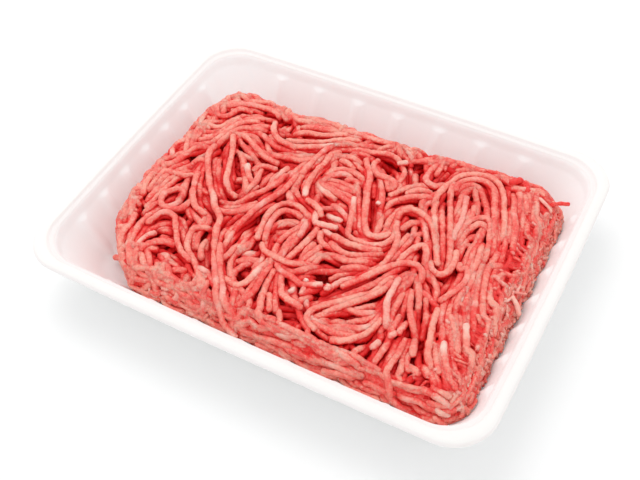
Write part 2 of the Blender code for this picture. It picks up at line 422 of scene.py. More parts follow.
def tone_along(tone, travelled, chance):
    """How fatty the strand is along its length, from 0 (lean) to 1 (fat)."""
    length = travelled[-1]
    fat = np.zeros(len(travelled))
    if tone == "fat":
        fat += 1.0
    if tone == "pale":
        fat += 0.5
    if tone == "pale start":
        fat += 0.65 * smoothstep((8 - travelled) / 6)
    if tone == "pale end":
        fat += 0.65 * smoothstep((8 - (length - travelled)) / 6)
    if tone == "cream":
        fat += 0.3
    for _ in range(chance.poisson(length / 50)):
        middle, spread = chance.uniform(0, length), chance.uniform(1.0, 3.5)
        fat += chance.uniform(0.1, 0.45) * np.exp(-((travelled - middle) / spread) ** 2)
    return np.clip(fat, 0, 1)


def mesh_from_tubes(name, tubes, made):
    """One mesh of many tubes, with their colours on its points."""
    points, faces, colours = [], [], []
    start = 0
    for rings, tone in tubes:
        count, sides = rings.shape[:2]
        ring = np.arange(sides)
        following = (ring + 1) % sides
        points.append(rings.reshape(-1, 3))
        colours.append(tone.reshape(-1, 4))
        base = start + np.arange(count - 1)[:, None] * sides
        quads = np.stack([base + ring, base + following, base + sides + following, base + sides + ring],
                         axis=-1)
        faces += quads.reshape(-1, 4).tolist()
        faces.append((start + ring[::-1]).tolist())
        faces.append((start + (count - 1) * sides + ring).tolist())
        start += count * sides
    mesh = bpy.data.meshes.new(name)
    mesh.from_pydata((np.vstack(points) * MM).tolist(), [], faces)
    attribute = mesh.color_attributes.new("tone", "FLOAT_COLOR", "POINT")
    attribute.data.foreach_set("color", np.vstack(colours).ravel())
    mesh.shade_smooth()
    return add_piece(name, mesh, made)


def add_piece(name, mesh, made):
    piece = bpy.data.objects.new(name, mesh)
    mesh.materials.append(made)
    bpy.context.scene.collection.objects.link(piece)
    return piece


# ---------------------------------------------------------------- strands laid along listed routes

# Each route: how it looks, then its points across the top of the slab.
# Points beyond the front edge run on down the front face.
LOWER = [
    # back left
    ("", (-73, 41), (-70, 45), (-65, 46.5), (-61, 44.5)),
    ("", (-72, 38), (-67, 41.5), (-62, 43.5), (-57, 45)),
    ("", (-58, 47.5), (-56, 45), (-55, 42.5)),
    ("", (-77, 33), (-76, 28), (-73, 26), (-69, 27), (-66, 31)),
    ("", (-76, 17.5), (-71, 18.5), (-67, 21), (-65, 25)),
    ("", (-75, 15), (-70, 15.5), (-66, 18), (-64, 23), (-61, 29)),
    ("", (-54, 31), (-50, 33.5), (-46, 35)),
    ("", (-60, 36), (-55, 38), (-50, 38), (-46, 40)),
    ("", (-43, 33), (-38, 34), (-33, 36)),
    ("", (-43, 31.5), (-38, 32.5)),
    ("", (-35, 40), (-33, 36), (-30, 33)),
    ("", (-43, 26), (-40.5, 22), (-37.5, 19.5), (-34, 17)),
    ("", (-51, 19), (-46, 18.5), (-41, 16)),
    ("", (-52, 24), (-47, 22), (-43, 18)),
    ("", (-56, 16), (-52, 14), (-47, 13), (-43, 14)),
    ("", (-36, 22), (-29, 23.5), (-23, 25), (-18, 28)),
    ("", (-9.5, 18), (-8, 22), (-4, 25), (1, 25.5), (5, 23.5), (7, 19)),
    ("", (-1, 19), (0.5, 21.5), (4, 21), (5.5, 18.5)),
    ("", (-9, 29), (-4, 28.5), (0, 27.5)),
    ("", (-10, 29), (-9, 24), (-9, 20)),
    ("", (0, 42), (6, 43.5), (12, 44.5), (17, 43), (20, 40)),
    ("", (13, 47), (18, 47.5), (21, 45)),
    ("", (24, 46), (27, 41), (29, 37)),
    ("", (11, 31.5), (14, 34), (17.5, 34.5), (20, 32), (22, 28), (23.5, 25)),
    ("", (9, 25.5), (12, 20), (14, 16)),
    # middle
    ("", (-9, 12.5), (-2, 11), (4, 11), (8, 12)),
    ("", (-9, 15.5), (-3, 15), (3, 15), (7, 16)),
    ("", (-16, 4), (-10, 2), (-3, 1), (2, 3), (8, 3.5)),
    ("", (-8, 9), (-7, 5), (-6.5, 2)),
    ("", (2, 7), (6, 6), (9, 4)),
    ("pale", (0, 0), (4, -2), (9, -1.5)),
    ("", (-15, -16), (-10, -12.5), (-6, -11)),
    ("", (-13, -19), (-8, -16.5), (-4, -16)),
    ("", (-8, -24), (-7, -29)),
    ("", (1, -15), (0, -20), (-1, -26)),
    ("", (4, -16), (3, -22), (3, -28)),
    ("", (7, -18), (5, -24), (4, -29)),
    ("", (-3, -17), (-4, -22), (-4, -28)),
    ("", (19, -24), (22, -28), (24, -31)),
    ("", (8, -33), (7.5, -36), (6, -40)),
    ("cream", (7, -40), (9, -45)),
    ("cream", (12, -40), (15, -44), (18, -47)),
    ("", (16, -40), (13, -45), (12, -49)),
    # red pocket on the left
    ("", (-45, -2), (-41, 0), (-37, -0.5), (-36, -3)),
    ("", (-32, 0), (-31, 5), (-31, 10)),
    ("", (-28, 0), (-28.5, 6), (-28, 11)),
    ("", (-30, -7), (-33, -12), (-38, -16), (-42, -17.5)),
    ("", (-40, 9), (-36, 5), (-34, 0)),
    ("", (-56, -12), (-52, -12.5), (-48, -14)),
    ("", (-52, 3), (-49, -2), (-46, -8)),
    # left block
    ("", (-75, 8), (-71, 9), (-67, 12), (-64, 16)),
    ("", (-76, 2), (-74, 5), (-70, 7)),
    ("", (-72, -13), (-71, -18), (-73, -24)),
    ("", (-70, -14), (-68, -20), (-69, -26)),
    ("", (-66, -28), (-70, -29), (-74, -28)),
    ("", (-62, 3), (-64, -3), (-66, -8)),
    # front left
    ("", (-61, -34), (-61.5, -41), (-60.5, -48), (-58, -54), (-53, -60)),
    ("", (-57, -39), (-52, -38), (-49, -37.5)),
    ("", (-54, -42), (-50, -40.5)),
    ("", (-49, -51), (-46, -49), (-44, -50.5), (-41, -51), (-38, -49.5)),
    ("", (-36, -34), (-36, -38), (-34, -42), (-32, -45)),
    ("", (-29, -27), (-31, -32)),
    ("pale", (-29, -37), (-28, -41)),
    ("", (-74, -36), (-71, -40), (-69, -41)),
    ("blood", (-35, -52), (-30, -53), (-26, -55)),
    ("", (-52, -56), (-46, -55), (-40, -56), (-33, -58), (-26, -60)),
    ("", (-50, -60), (-43, -60), (-36, -61), (-28, -63)),
    # bottom centre
    ("cream", (-20, -35), (-14, -31)),
    ("", (-20, -39), (-14, -36), (-10, -33)),
    ("", (-16, -42), (-13, -41), (-12, -45)),
    ("", (0, -46), (3, -51), (5, -55)),
    ("", (-16, -54), (-12, -53), (-7, -55)),
    # arches
    ("", (51, 31), (53, 34), (57, 34.5), (60, 31.5)),
    ("", (45.5, 31), (46, 36), (49, 40), (54, 41), (58, 38), (60, 33)),
    ("", (57, 13), (60, 16.5), (63, 17)),
    ("", (55, 4), (57, 9), (60, 11), (63, 10.5)),
    ("pale", (55, 15), (56, 18)),
    ("", (47, -7), (50, -11), (54, -12.5), (58, -12)),
    ("", (36, -3), (37.5, 3), (40.5, 7.5), (44, 5.5), (46, 0)),
    ("", (31, 5), (34, 11), (38, 12.5), (43, 10), (46, 6)),
    ("", (57, 30), (60, 27), (61, 22)),
    # lower right
    ("", (41, -24), (42, -18), (44, -14.5), (47, -14), (49, -17), (50, -20)),
    ("", (30, -34), (35, -27), (38, -21), (41, -16)),
    ("", (47, -21), (52, -19.5), (57, -21.5), (61, -24)),
    ("", (39, -43), (34, -45), (30, -44.5)),
    ("", (38, -50), (33, -50.5), (29, -48)),
    ("", (47, -43), (48, -50), (49, -57)),
    ("", (53, -44), (53, -50), (51, -58)),
    ("", (59, -43), (60, -50), (63, -54)),
    ("", (60, -51), (64, -52), (67, -54)),
    # right column
    ("", (60, 45), (63, 38), (66, 31), (68, 24), (70, 17)),
    ("", (68, 46), (71, 40), (73, 34), (75, 27), (77, 21), (79, 14)),
    ("", (76, 50), (79, 44), (81, 38), (82, 31), (84, 24)),
    ("", (68, 12), (67, 6), (68, 0), (70, -5), (71, -10)),
    ("", (71, -5), (73, -12), (76, -18), (79, -25)),
    ("", (70, -24), (73, -31), (77, -38), (80, -45)),
    ("", (71, -35), (75, -42), (79, -49)),
    ("", (72, -52), (75, -56), (79, -58)),
]

UPPER = [
    # back left
    ("", (-71, 36), (-66, 38.5), (-61, 41), (-55, 42.5), (-49, 42.5), (-45, 41)),
    ("", (-74, 35), (-73, 31.5), (-70, 29), (-67, 30.5), (-65.5, 34), (-63, 37), (-58, 38.5)),
    ("", (-74, 33), (-70, 26)),
    ("", (-75, 24), (-70, 22.5), (-66, 24), (-64, 28), (-61, 33)),
    ("", (-70, 11), (-66, 15), (-64, 20), (-63, 26), (-60, 31), (-57, 34)),
    ("", (-64, 11), (-62.5, 16), (-61.5, 22), (-59.5, 28), (-56, 32), (-52, 35)),
    ("", (-61, 10), (-60, 16), (-59, 22), (-56.5, 27), (-51, 28.5), (-45, 30.5)),
    ("", (-44, 46), (-40, 44), (-36, 42.5), (-32, 43), (-27, 44.5)),
    # fan
    ("", (-38, 18), (-30, 19.5), (-22, 21), (-18, 24)),
    ("", (-35, 25.5), (-28, 27), (-22, 30), (-16, 34), (-10, 38), (-6, 41)),
    ("", (-36, 29), (-29, 31), (-22, 34), (-16, 38), (-11, 41), (-5, 44)),
    ("", (-35, 34), (-28, 37), (-22, 39), (-16, 42), (-10, 45)),
    ("", (-34, 39), (-27, 41), (-21, 43), (-15, 45)),
    ("", (-34, 43), (-28, 45), (-22, 46.5), (-15, 47)),
    ("", (-16, 44.5), (-9, 46), (-2, 46), (5, 46.5), (9, 47)),
    ("", (-5, 40), (-10, 38.5), (-14, 35.5), (-16.5, 31), (-17.5, 25), (-18, 19), (-18.5, 12)),
    ("pale end", (-13, 30), (-13, 26), (-13.5, 20), (-14, 13), (-13, 7), (-11, 2)),
    # back centre
    ("", (-8, 32), (-3, 31.5), (2, 31)),
    ("", (-8, 36), (-3, 37.5), (3, 38), (8, 40), (13, 40.5), (17, 38), (20, 33), (20, 27)),
    ("", (7, 36.5), (6, 33), (7.5, 29.5), (11, 27.5), (16, 27.5), (19, 26), (19, 23), (16, 23.5)),
    # bundle that turns at the bottom
    ("", (1, 34.5), (4, 30.5), (7, 26.5), (9, 22), (10.5, 17), (13, 11), (15, 6), (17, 1.5),
     (20, -3), (23, -4.5), (27, -2.5), (29, 2)),
    ("pale start", (7, 12), (10, 5), (12, -1), (14, -7), (18, -9), (24, -8.5), (29, -6), (31, -1),
     (30, 4)),
    ("", (8, -10), (14, -12), (20, -12), (26, -11), (30, -8)),
    ("", (9, -14), (15, -16.5), (21, -16), (27, -13), (31, -9)),
    ("", (12, -19), (18, -20), (24, -18.5), (29, -15)),
    ("", (19, -24), (24, -22), (30, -19)),
    ("", (28, 10), (30, 4), (33, -1), (34, -6), (34, -12), (33, -18), (32, -22)),
    # middle
    ("cream", (-4, -1), (-2, -5), (0, -8.5), (5, -7.5), (9, -6)),
    ("cream", (-5, -8), (-3, -12), (-3, -18)),
    ("", (-17, -27), (-18.5, -21), (-20, -14), (-19, -8), (-15, -4), (-9, -4), (-4, -7)),
    ("", (-14, -26), (-16, -20), (-17, -14), (-15.5, -9), (-11, -7.5), (-6, -8)),
    ("", (-19, 3), (-16, -1.5), (-12, -4)),
    ("", (-20, 14), (-20, 7), (-21, 0), (-24, -7), (-26, -14), (-27, -21), (-28, -27)),
    ("", (-15, -26), (-12, -30), (-6, -31.5), (1, -31.5), (6, -29), (9, -27)),
    ("pale end", (-4, -34), (0, -36.5), (5, -37), (9, -38), (14, -37), (18, -35)),
    # left block
    ("", (-60, 14), (-64, 12), (-69, 8), (-73, 6)),
    ("", (-62, 10), (-67, 8), (-69.5, 3), (-71, -3), (-74, -8)),
    ("", (-58, 1.5), (-63, 1.5), (-66, -3), (-68, -8)),
    ("", (-74, -15), (-72, -11.5), (-68, -10.5), (-63, -9.5), (-60, -6)),
    ("", (-75, -10), (-76, -16), (-75, -22), (-73, -27)),
    ("", (-54, -16), (-52.5, -21), (-54, -26.5), (-59, -29), (-63.5, -27), (-65, -22),
     (-62.5, -18), (-58.5, -17.5), (-57, -20.5), (-59, -23)),
    # pocket
    ("", (-30, 12.5), (-34, 12), (-38, 9.5), (-39, 6)),
    ("pale start", (-43, 8.5), (-40.5, 5), (-38, 2), (-35, 0.5)),
    ("", (-26, -9), (-29, -15), (-35, -19), (-40, -20.5)),
    ("", (-24, 12), (-25, 5), (-28, -2), (-32, -8), (-37, -13), (-42, -16)),
    # front left
    ("", (-64, -33), (-64.5, -40), (-63, -47), (-61, -53), (-56, -60)),
    ("cream", (-56, -41), (-58, -45), (-58, -50), (-56, -54)),
    ("", (-56, -53), (-54, -48), (-50, -45), (-45, -43.5)),
    ("", (-76, -30), (-73, -34), (-70, -35)),
    ("", (-70, -36), (-68, -42), (-68, -48), (-66, -54)),
    ("", (-35, -29), (-39, -31), (-43, -34), (-42, -39), (-39, -43.5), (-34, -47), (-29, -51.5),
     (-24, -56)),
    # bottom centre
    ("", (-23, -31), (-23, -38), (-24.5, -44), (-21, -50), (-16, -54), (-11, -56)),
    ("", (-20, -48), (-16, -50), (-12, -50), (-9.5, -46), (-8.5, -40), (-8, -34)),
    ("", (-5, -35), (-5.5, -42), (-5, -49), (-6, -54), (-9, -56)),
    ("", (-3, -36), (-3, -43), (-1, -50), (2, -56), (4, -60)),
    ("", (0, -37), (3, -42), (6, -46), (11, -47.5), (16, -48)),
    # arches
    ("", (38, 22), (37.5, 28), (38.5, 34), (40, 39), (43, 43.5), (48, 46.5), (54, 47), (59, 44.5),
     (62, 40), (64.5, 34), (67, 28), (69, 22), (70, 17)),
    ("", (43, 33), (43, 38), (46, 42), (51, 44), (56, 42.5), (59, 38), (61, 32), (63, 27),
     (65, 21), (67, 15)),
    ("", (38, 26), (39.5, 20), (42, 15), (45, 9), (48, 3), (51, -3), (53, -5.5)),
    ("", (42, 40), (41, 35), (42.5, 30), (45, 24), (48, 17), (51, 10), (54, 3), (56, -3),
     (56.5, -8)),
    ("cream", (48, 34), (49.5, 29), (51, 24), (52, 18), (52, 12), (53, 8)),
    ("", (53.5, 13), (54, 18), (56, 23), (59.5, 25.5), (62.5, 24), (64, 20), (66, 14), (67, 9)),
    ("", (56, 16), (58, 20.5), (61, 21.5), (63, 19)),
    ("", (28, 9), (28, 13), (32, 16), (37, 15.5), (41, 13), (45, 8), (48, 3), (51, -1)),
    ("", (38, -12), (40, -5), (43, 0.5), (46, -2), (48, -8)),
    ("", (49, -4), (51, -8), (55, -9.5), (57.5, -6), (57.5, 0), (56, 5)),
    ("", (59.5, 0), (61, -3.5), (63, -2), (65, -6), (64.5, -12), (62, -18), (60, -22)),
    ("", (30, 46), (29, 38), (30, 33.5), (34, 33), (38, 36)),
    ("", (24, 18), (29, 22), (34, 25), (38, 27)),
    ("", (25, 23), (30, 27), (35, 29.5)),
    ("", (26, 29), (29, 31), (33, 30)),
    # lower right
    ("", (24, -33), (30, -24), (35, -17), (40, -12), (45, -10), (48.5, -11.5), (50, -16)),
    ("", (38, -24), (34, -31), (28, -38), (22, -43), (19, -48), (20, -52), (25, -54)),
    ("", (41, -20), (38, -28), (33, -35), (27, -42), (23, -46)),
    ("cream", (28, -25), (23, -30), (20, -36), (18, -38.5)),
    ("", (44, -35), (44, -42), (41, -49), (36, -54), (31, -55)),
    ("", (42, -35), (37, -39.5), (31, -40), (27, -41)),
    ("", (46, -22), (46.5, -29), (47, -36), (50, -43)),
    ("", (48, -20), (52, -30), (56, -36), (60, -41)),
    ("", (49.5, -33), (50, -40), (51, -48), (50, -56)),
    ("", (53, -34), (53, -43)),
    ("", (56, -42), (56.5, -50), (56, -57), (58, -63)),
    ("", (61, -24), (62, -31), (64, -38), (66, -45), (70, -50)),
    # right column
    ("", (64, 45), (67, 39), (69, 33), (72, 27), (74, 20), (76, 14)),
    ("", (72, 49), (75, 43), (77, 37), (79, 30), (81, 23), (82, 16)),
    ("blood", (62, 49), (64, 52), (68, 51), (70, 47)),
    ("", (64, 14), (64.5, 8), (65.5, 2), (65, -6)),
    ("", (69, 2), (73, 4.5), (77, 6)),
    ("", (74, -7), (77, -12), (80, -18), (83, -24)),
    ("", (68, -12), (70, -20), (73, -27)),
    ("cream", (67, -10), (67, -17), (66, -22)),
    ("pale start", (73, -26), (76, -33), (79, -39), (81, -44)),
    ("", (66, -25), (70, -30), (73, -36)),
    ("pale start", (69, -37), (71, -42), (75, -48), (79, -53)),
]

CROSSING = [
    ("", (-46.5, 38), (-44, 34.5), (-42.5, 30.5), (-39, 27.5), (-34, 26), (-28, 25.5)),
    ("", (-61, 12), (-60.5, 6), (-58, 1), (-54, -5), (-50, -10), (-45, -15), (-41, -20),
     (-36, -24), (-34, -30), (-31, -36)),
    ("pale end", (-33, -33), (-30, -38), (-24, -47), (-17, -56), (-12, -62), (-7, -66)),
    ("", (-30, -34), (-26, -40), (-21, -48), (-14, -56), (-8, -61)),
    ("", (-57, 20), (-53, 13), (-50, 7), (-47, 0), (-45, -5), (-41, -8.5), (-37, -9)),
    ("", (-59, -5), (-57, -11), (-54, -17), (-50, -22), (-47, -24), (-42, -25)),
    ("", (-62, -40), (-60, -34), (-57, -31.5), (-53, -32), (-49, -37), (-45, -42), (-40, -46),
     (-34, -48)),
    ("cream", (42, -18), (42.5, -25), (43, -31), (45.5, -37), (48, -42)),
    ("", (-10, 1), (-6, 0), (-2, -2), (1, -5)),
]


# ---------------------------------------------------------------- laying the strands

TIP_DIP = 2.6                # how far a strand's tip may tuck in under the others
TIP_LENGTH = 4.5

# Bits of fat and other short bits: how it looks, x, y, heading in degrees, length, radius.
BITS = [
    ("fat", 17.5, 4.6, 70, 2.2, 1.3), ("fat", 17.8, 14.1, 20, 2.6, 1.5), ("pale", 17.7, -17.7, -35, 4.5, 1.4),
    ("fat", 10.2, -35.2, 80, 3.0, 1.3), ("pale", 7.8, -41.9, 60, 4.5, 1.4), ("cream", 12.0, -40.9, 95, 4.5, 1.4),
    ("pale", 20.1, -35.6, 80, 4.0, 1.4), ("fat", 72.9, -26.2, 40, 2.4, 1.6), ("cream", 51.5, -44.0, 70, 5.0, 1.4),
    ("pale", 55.4, 15.5, 60, 4.0, 1.3), ("cream", 47.5, -50.0, 75, 6.0, 1.4),
    ("", 76.5, -55.5, -8, 8.0, 1.3), ("cream", 78.0, -58.3, -4, 9.0, 1.4), ("pale", 80.0, -61.5, 3, 7.5, 1.4),
    ("", 80.5, -64.6, -5, 7.5, 1.3), ("cream", 82.0, -52.8, 10, 5.0, 1.2),
    ("pale", 16.5, 43.0, 30, 5.5, 1.4), ("blood", 63.5, 50.5, 50, 7.0, 1.5), ("blood", 66.5, 47.5, 40, 5.0, 1.5),
]

# Ends that stick out over the tray: how it looks, radius, then points in space.
LOOSE_ENDS = [
    ("blood", 0.8, (79.0, 44.5, 24.5), (83.0, 46.6, 25.8), (85.6, 48.0, 25.6), (87.2, 49.4, 25.0)),
    ("pale", 1.0, (82.5, -4.0, 22.6), (84.8, -5.6, 22.6), (86.8, -7.4, 21.4), (88.4, -9.2, 19.6)),
    ("cream", 0.55, (83.0, -2.0, 22.8), (85.4, -1.0, 22.6), (87.4, 0.4, 21.6)),
    ("pale", 0.5, (83.0, -5.0, 23.2), (82.4, -7.6, 23.8), (80.6, -9.2, 24.2)),
    ("", 1.35, (-66.0, -46.5, 7.5), (-70.5, -47.6, 7.6), (-74.2, -48.3, 6.8), (-77.0, -48.5, 6.0)),
]

# The one open hole between the strands: x, y and radius.
HOLE = (14.0, -30.2, 2.4)

# Hollows between the strands: x, y, radius, how much lower the heap is there.
HOLLOWS = [
    (14, -30.2, 2.8, 6.5), (12.5, -27, 3.0, 2.0), (-38, -10, 4.5, 2.5), (-64, -3, 3.0, 2.2),
    (-23, -18, 2.6, 3.0), (36.5, 40, 2.6, 3.5), (14, 38, 3.2, 2.5), (-14, 26, 1.6, 3.0),
    (-45, 25, 2.6, 2.5), (-38, 40, 3.2, 2.5), (-38, -52, 3.0, 3.5), (-15, -44, 2.6, 3.5),
    (-9, -58, 2.6, 3.0), (0, -60, 2.2, 3.0), (62, 13, 2.2, 2.5), (42, 27, 2.0, 2.5),
    (45, -6, 1.6, 2.5), (47.5, -19, 1.6, 2.5), (32, -43, 3.0, 2.5), (28, -48, 2.4, 2.5),
    (60, -39, 3.0, 3.0), (59, -34, 2.2, 3.0), (57, -26, 2.4, 3.0),
    (69, -22, 2.2, 2.5), (54, 36, 2.4, 2.0), (-3, 6, 1.8, 2.5), (20, 9, 4.0, 1.8),
    (-56, 9, 2.6, 2.5), (-50, -5, 2.6, 2.5), (-41, 15, 3.2, 1.8), (64, 34, 1.6, 2.0),
]

def route_to_flat(points):
    """Points of a listed route: beyond the front edge they run down the front face."""
    points = np.asarray(points, float)
    beyond = np.maximum(FRONT_EDGE - points[:, 1], 0.0)
    points = points - np.column_stack([FRONT_LEAN * beyond, (FRONT_STRETCH - 1) * beyond])
    return flat_position(points)


def surface_normals(flat, lift):
    outward = slab_points(flat, lift + 0.5) - slab_points(flat, lift)
    return outward / np.linalg.norm(outward, axis=1)[:, None]


def hollow_depth(flat, share=1.0):
    """How much lower strands lie at hollows in the heap."""
    depth = np.zeros(len(flat))
    for x, y, radius, fall in HOLLOWS:
        away = np.hypot(flat[:, 0] - x, flat[:, 1] - y) / radius
        depth = np.maximum(depth, fall * smoothstep(1.6 - away))
    return depth * share


class Layer:
    """Strands of one kind: settles each one, then adds it to that kind's mesh."""

    def __init__(self, name, seed, sides, step):
        self.strands = StrandMesh(name, sides, step)
        self.chance = np.random.default_rng(seed)
        self.seed = seed * 10000

    def lay(self, flat, ceiling, tone="", radius=STRAND_RADIUS, flatness=0.94, shallow=1.0):
        inside = np.flatnonzero(np.hypot(*(flat - HOLE[:2]).T) < HOLE[2])
        if len(inside):
            for part in (flat[:inside[0]], flat[inside[-1] + 1:]):
                if len(part) > 6:
                    self.lay(part, ceiling, tone, radius, flatness, shallow)
            return
        self.seed += 1
        radius = radius * self.chance.uniform(0.92, 1.07)
        along = np.arange(len(flat)) * STEP
        dips = self.chance.uniform(0.0, TIP_DIP, 2)
        if tone.endswith("start"):
            dips[0] = 0.0
        if tone.endswith("end"):
            dips[1] = 0.0
        dip = dips[0] * smoothstep(1 - along / TIP_LENGTH) + dips[1] * smoothstep(1 - along[::-1] / TIP_LENGTH)
        lift = settle(flat, ceiling - dip - hollow_depth(flat, shallow))
        self.strands.add(flat, lift, radius, flatness, tone, self.seed)


def meander(chance, start, heading, length, restless=0.035):
    """A wandering line of flat positions."""
    step = min(STEP, length / 3)
    count = int(length / step) + 1
    along = np.arange(count) * step
    bend = np.zeros(count)
    for _ in range(3):
        wavelength = chance.uniform(14, 45)
        bend += chance.normal(0, restless) * np.sin(along * 2 * math.pi / wavelength + chance.uniform(0, 6))
    bend += chance.normal(0, restless * 0.6)
    angle = heading + np.cumsum(bend) * step
    return start + np.cumsum(np.column_stack([np.cos(angle), np.sin(angle)]) * step, axis=0)


def bundle(chance, line, count, spacing):
    """Copies of a line side by side, each cut at its own place."""
    along = np.gradient(line, axis=0)
    across = np.column_stack([-along[:, 1], along[:, 0]]) / np.linalg.norm(along, axis=1)[:, None]
    lines = []
    for number in range(count):
        first = chance.integers(0, max(len(line) // 4, 1))
        last = len(line) - chance.integers(0, max(len(line) // 4, 1))
        shift = (number - (count - 1) / 2) * spacing
        moved = line[first:last] + across[first:last] * shift
        if len(moved) > 5:
            lines.append(smooth_route(moved[::3]))
    return lines


def lowest_place(chance, low, high, tries=14):
    """Of a few places picked at random, the one where the heap is lowest."""
    places = chance.uniform(low, high, (tries, 2))
    cells = np.round((places - grid_low) / CELL).astype(int)
    return places[np.argmin(heights[cells[:, 0], cells[:, 1]])]


def lay_fillers(layer, count, ceiling, margin):
    """Bundles of wandering strands, each started where the heap is low."""
    chance = layer.chance
    low = SLAB_CENTRE - SLAB_HALF - margin
    high = SLAB_CENTRE + SLAB_HALF + margin
    for _ in range(count):
        start = lowest_place(chance, low, high)
        length = chance.uniform(22, 60)
        heading = chance.uniform(0, 2 * math.pi)
        start = start - np.array([math.cos(heading), math.sin(heading)]) * length / 2
        line = meander(chance, start, heading, length)
        for moved in bundle(chance, line, chance.integers(2, 5), 3.3):
            inside = np.all((moved > low) & (moved < high), axis=1)
            if inside.sum() * STEP > 8:
                layer.lay(moved[inside], ceiling + chance.uniform(-0.5, 0.5))


class Grain:
    """Which way the strands on listed routes run, everywhere on the slab."""

    SPREAD = 5.0

    def __init__(self, routes):
        lines = [smooth_route(route_to_flat(points), 2.0) for tone, *points in routes]
        self.places = np.vstack([line[:-1] for line in lines])
        steps = np.vstack([np.diff(line, axis=0) for line in lines])
        angle = 2 * np.arctan2(steps[:, 1], steps[:, 0])
        self.double = np.column_stack([np.cos(angle), np.sin(angle)])

    def heading(self, place):
        away = ((self.places - place) ** 2).sum(axis=1)
        weight = np.exp(-away / (2 * self.SPREAD ** 2)) + 1e-9
        total = (self.double * weight[:, None]).sum(axis=0)
        return math.atan2(total[1], total[0]) / 2

    def follow(self, place, length, waver):
        """A line through a place that runs with the grain both ways."""
        halves = []
        first = self.heading(place)
        for way in (0.0, math.pi):
            here, angle = place.copy(), first + way
            half = []
            for _ in range(int(length / 2 / 1.6)):
                turn = self.heading(here) - angle
                turn = (turn + math.pi / 2) % math.pi - math.pi / 2
                angle += np.clip(turn, -0.35, 0.35) + waver.normal(0, 0.06)
                here = here + 1.6 * np.array([math.cos(angle), math.sin(angle)])
                half.append(here)
            halves.append(half)
        return np.array(halves[1][::-1] + [place] + halves[0])


def lay_with_grain(layer, grain, count, ceiling, only_below=99.0, low=SLAB_LOW - 3, high=SLAB_HIGH + 3):
    """Strands that fill the low places and run with the grain."""
    chance = layer.chance
    for _ in range(count):
        place = lowest_place(chance, low, high, tries=30)
        cell = np.round((place - grid_low) / CELL).astype(int)
        if heights[cell[0], cell[1]] > only_below or hollow_depth(place[None])[0] > 1.0:
            continue
        line = smooth_route(grain.follow(place, chance.uniform(8, 40), chance))
        inside = np.all((line > low) & (line < high), axis=1)
        line = line[inside]
        if len(line) > 6:
            layer.lay(line, ceiling + chance.uniform(-0.5, 0.5))


def lay_routes(layer, routes, ceiling):
    for tone, *points in routes:
        flat = smooth_route(route_to_flat(points))
        layer.lay(flat, ceiling + layer.chance.uniform(-0.3, 0.3), tone)


def around_slab(distance, down):
    """Flat position at a distance round the slab's outline and down its side."""
    half = SLAB_HALF - SHOULDER - PLAN_CORNER
    arc = PLAN_CORNER * math.pi / 2
    lengths = np.array([2 * half[1], arc, 2 * half[0], arc, 2 * half[1], arc, 2 * half[0], arc])
    distance = distance % lengths.sum()
    ends = np.cumsum(lengths)
    part = np.searchsorted(ends, distance, side="right")
    inside = (distance - (ends[part] - lengths[part])) / lengths[part]
    quarter = part // 2
    angle = quarter * math.pi / 2 + np.where(part % 2 == 1, inside * math.pi / 2, 0.0)
    outward = np.column_stack([np.cos(angle), np.sin(angle)])
    corner_x = np.array([1, 1, -1, -1, 1])
    corner_y = np.array([-1, 1, 1, -1, -1])
    straight = np.where(part % 2 == 1, 1.0, inside)
    x = corner_x[quarter] + (corner_x[quarter + 1] - corner_x[quarter]) * straight
    y = corner_y[quarter] + (corner_y[quarter + 1] - corner_y[quarter]) * straight
    return SLAB_CENTRE + np.column_stack([x, y]) * half + outward * (PLAN_CORNER + down)[:, None]


def outline_length():
    half = SLAB_HALF - SHOULDER - PLAN_CORNER
    return 4 * half.sum() + 2 * math.pi * PLAN_CORNER


def lay_sides(layer, rows, ceiling, longest=40.0, pressed=0.8, first=0.0, last=1.0):
    """Strands pressed flat against one another that run along the sides.

    first and last are shares of the slab's outline, from the right side's front end.
    """
    chance = layer.chance
    total = outline_length()
    for down in rows:
        place = first * total + chance.uniform(0, 12)
        while place < last * total:
            length = chance.uniform(6, longest)
            along = np.arange(0, length, STEP)
            sway = chance.uniform(-0.9, 0.9) + chance.uniform(-0.16, 0.16) * (along - length / 2)
            sway += chance.uniform(0.2, 1.2) * np.sin(
                along * 2 * math.pi / chance.uniform(14, 40) + chance.uniform(0, 6))
            flat = around_slab(place + along, np.clip(down + sway, 0.8, SIDE_FLAP))
            radius = STRAND_RADIUS * chance.uniform(0.85, 1.15)
            layer.lay(flat, ceiling + chance.uniform(-0.5, 0.4), "", radius, pressed)
            place += length * chance.uniform(0.75, 1.0)


def lay_over_edge(layer, count, ceiling, first, last):
    """Strands that come over the top's edge and hang down the side."""
    chance = layer.chance
    total = outline_length()
    for _ in range(count):
        length = chance.uniform(9, 24)
        along = np.arange(0, length, STEP)
        lean = chance.uniform(-1.4, 1.4)
        bend = chance.uniform(-0.03, 0.03)
        down = chance.uniform(-7, -2) + along * math.cos(lean)
        place = chance.uniform(first, last) * total + along * math.sin(lean) + bend * along ** 2
        flat = around_slab(place, down)
        layer.lay(flat, ceiling + chance.uniform(-0.5, 0.4), "", STRAND_RADIUS, 0.9)


def lay_bits(layer, bits, ceiling):
    """Small pieces picked out by place, heading in degrees and length."""
    for tone, x, y, heading, length, radius in bits:
        angle = math.radians(heading)
        along = np.arange(-length / 2, length / 2, STEP / 2)
        flat = np.column_stack([x + along * math.cos(angle), y + along * math.sin(angle)])
        layer.lay(smooth_route(flat), ceiling, tone, radius, 0.9)


